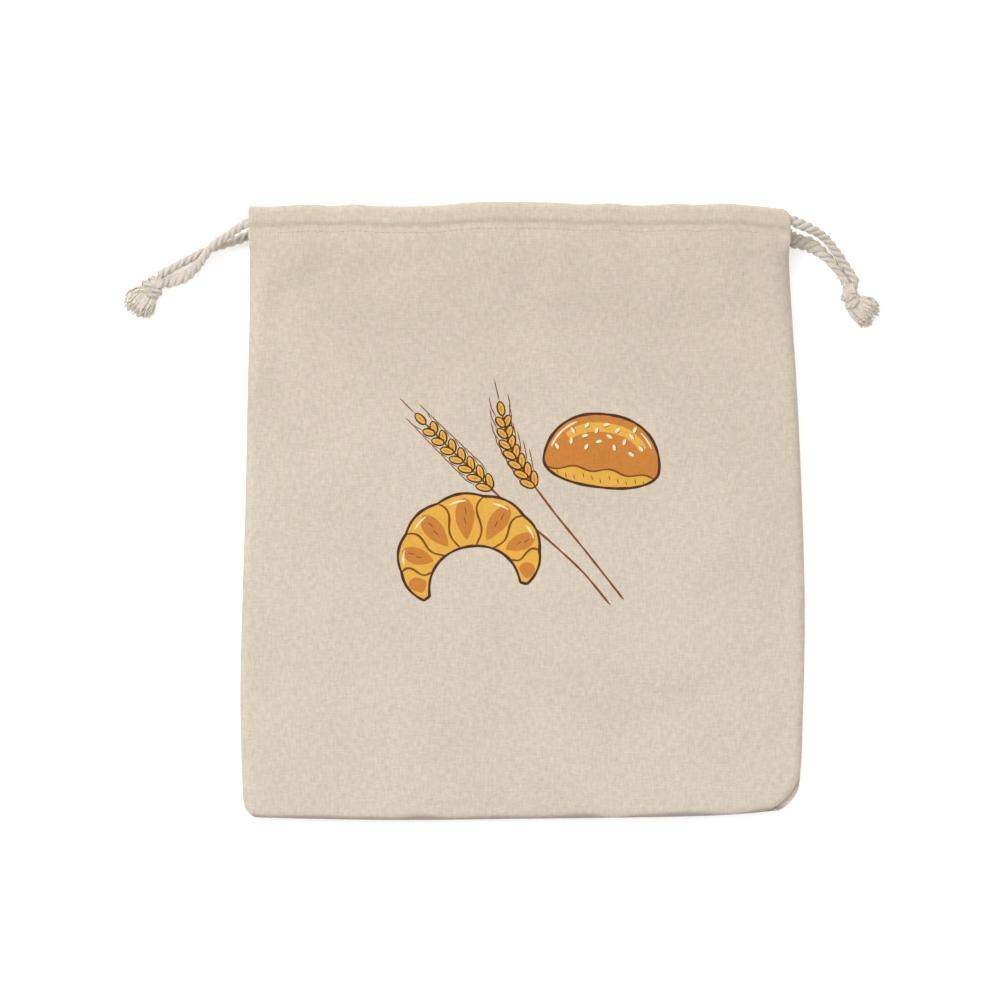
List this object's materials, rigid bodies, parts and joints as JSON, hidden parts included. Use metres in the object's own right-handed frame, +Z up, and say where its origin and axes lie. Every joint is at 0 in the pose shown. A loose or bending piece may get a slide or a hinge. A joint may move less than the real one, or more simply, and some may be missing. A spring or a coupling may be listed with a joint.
{
  "type": "linen drawstring bread bag",
  "caption": "Flat linen bread bag lying empty on its back, with a cord heading at its mouth and a knotted, frayed drawstring at each side.",
  "frame": {"origin": "on the surface that the bag lies on, under the middle of the bag's own box, cords and knots left out", "axes": "+X across the bag, +Y along it towards its mouth, +Z up out of its front"},
  "size_m": [0.4017, 0.3296, 0.021],
  "materials": {
    "linen": "plain weave, matt, with slubs",
    "cotton_cord": "twisted, matt"
  },
  "bodies": {
    "root": {"front_panel": "linen", "back_panel": "linen", "left_cord_run": "cotton_cord", "right_cord_run": "cotton_cord", "left_tail_front": "cotton_cord", "left_tail_back": "cotton_cord", "right_tail_front": "cotton_cord", "right_tail_back": "cotton_cord", "left_knot": "cotton_cord", "right_knot": "cotton_cord"}
  },
  "joints": []
}
